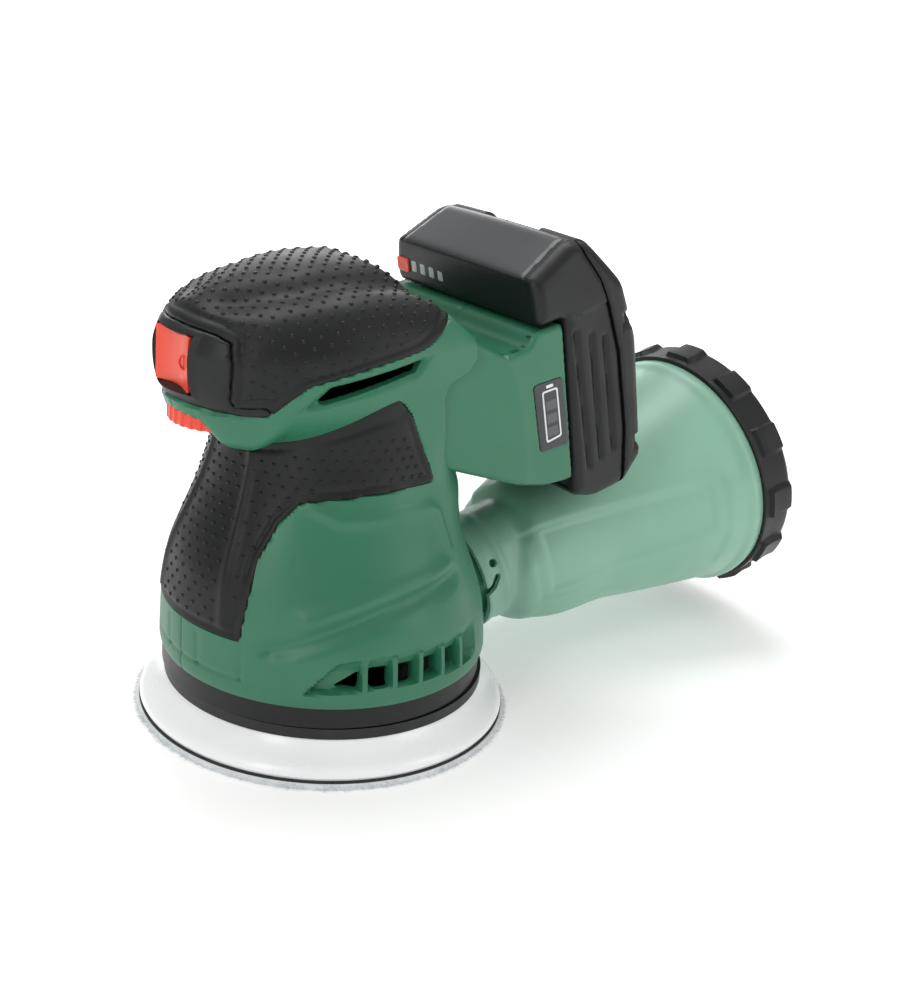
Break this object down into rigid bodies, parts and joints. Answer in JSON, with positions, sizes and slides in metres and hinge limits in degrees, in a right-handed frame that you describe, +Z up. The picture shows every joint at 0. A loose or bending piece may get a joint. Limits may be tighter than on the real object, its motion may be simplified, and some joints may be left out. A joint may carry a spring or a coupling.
{
  "type": "orbital sander",
  "caption": "Cordless random orbital sander: round pad, waisted body with soft palm grip, slide-on battery pack and dust box with screw cap.",
  "frame": {"origin": "centre of the sanding face, on the motor axis, on the surface being sanded", "axes": "+Z up along the motor axis, -X towards the nose and rocker switch, +X towards the battery and dust box, -Y is the operator's left"},
  "size_m": [0.2582, 0.1274, 0.1625],
  "materials": {
    "green_shell": "moulded, fine spark texture",
    "soft_grip": "soft-touch overmould with raised dots",
    "black_panel": "moulded, fine texture",
    "dark_label": "satin insert",
    "orange_button": "moulded, satin gloss",
    "grey_lamp": "translucent lamp window",
    "clear_green": "translucent, fine matte",
    "rubber_seal": "matte",
    "foam": "skinned foam, soft gloss",
    "hook": "hook tape",
    "fleece": "fibrous fleece",
    "plate_nylon": "glass-filled nylon",
    "filter_paper": "pleated paper",
    "grey_plastic": "moulded",
    "steel": "turned or zinc plated",
    "cast_alloy": "die cast",
    "magnet": "ferrite",
    "copper": "enamelled copper",
    "brass": "stamped",
    "carbon": "pressed carbon",
    "board": "solder resist",
    "cell": "shrink sleeve"
  },
  "bodies": {
    "housing": {"housing_left": "green_shell", "housing_right": "green_shell", "top_grip": "soft_grip", "waist_grip": "soft_grip", "nose_panel": "black_panel", "front_plate": "green_shell", "base_ring": "black_panel", "brake_ring": "rubber_seal", "fan_housing": "grey_plastic", "dust_outlet": "green_shell", "bearing_bridge": "cast_alloy", "lower_bearing": "steel", "motor_can": "steel", "motor_magnets": "magnet", "motor_end_cap": "black_panel", "brush_holders": "brass", "carbon_brushes": "carbon", "brush_springs": "steel", "upper_bearing": "steel", "circuit_board": "board", "switch_body": "black_panel", "dial_potentiometer": "grey_plastic", "terminal_block": "grey_plastic", "contact_blades": "brass", "gauge_label": "dark_label", "housing_screws": "steel", "rocker_pin": "steel"},
    "rotor": {"motor_shaft": "steel", "armature_core": "steel", "armature_windings": "copper", "commutator": "copper", "cooling_fan": "grey_plastic", "eccentric_weight": "cast_alloy", "pad_bearing": "steel"},
    "pad": {"backing_plate": "plate_nylon", "foam_pad": "foam", "hook_layer": "hook", "fleece_disc": "fleece", "pad_screw": "steel"},
    "battery": {"battery_front_case": "black_panel", "battery_rear_case": "black_panel", "battery_label_panel": "dark_label", "battery_cells": "cell", "cell_holder": "grey_plastic", "battery_board": "board", "battery_contacts": "brass", "level_lamps": "grey_lamp", "battery_screws": "steel", "release_spring": "steel"},
    "dust_box": {"dust_box": "clear_green", "filter_cartridge": "filter_paper", "neck_seal": "rubber_seal"},
    "rocker": {"rocker_switch": "orange_button"},
    "dial": {"speed_dial": "orange_button"},
    "level_button": {"level_button": "orange_button"},
    "release_button": {"release_button": "black_panel"},
    "cap": {"dust_box_cap": "black_panel"}
  },
  "joints": [
    {"name": "rotor_spin", "type": "hinge", "parent": "housing", "child": "rotor", "pos_m": [0, 0, 0.09], "axis": [0, 0, 1], "continuous": true},
    {"name": "pad_spin", "type": "hinge", "parent": "rotor", "child": "pad", "pos_m": [0.0012, 0, 0.027], "axis": [0, 0, 1], "continuous": true},
    {"name": "rocker_tilt", "type": "hinge", "parent": "housing", "child": "rocker", "pos_m": [-0.0568, 0, 0.128], "axis": [0, 0, 1], "range_deg": [0, 12]},
    {"name": "dial_turn", "type": "hinge", "parent": "housing", "child": "dial", "pos_m": [-0.043, 0, 0.1125], "axis": [0, 0, 1], "range_deg": [0, 270]},
    {"name": "battery_slide", "type": "slide", "parent": "housing", "child": "battery", "axis": [-0.225, 0, 0.9744], "range_m": [0, 0.08]},
    {"name": "level_press", "type": "slide", "parent": "battery", "child": "level_button", "axis": [0.9744, 0, 0.225], "range_m": [0, 0.0008], "stiffness_N_per_m": 600, "springref_m": -0.001},
    {"name": "release_press", "type": "slide", "parent": "battery", "child": "release_button", "axis": [0.225, 0, -0.9744], "range_m": [0, 0.0025], "stiffness_N_per_m": 900, "springref_m": -0.002, "deforming": ["release_spring"]},
    {"name": "dust_box_pull", "type": "slide", "parent": "housing", "child": "dust_box", "axis": [0.9736, 0, 0.2284], "range_m": [0, 0.03]},
    {"name": "cap_turn", "type": "hinge", "parent": "dust_box", "child": "cap", "pos_m": [0.1697, 0, 0.0572], "axis": [0.9736, 0, 0.2284], "range_deg": [0, 60]}
  ]
}
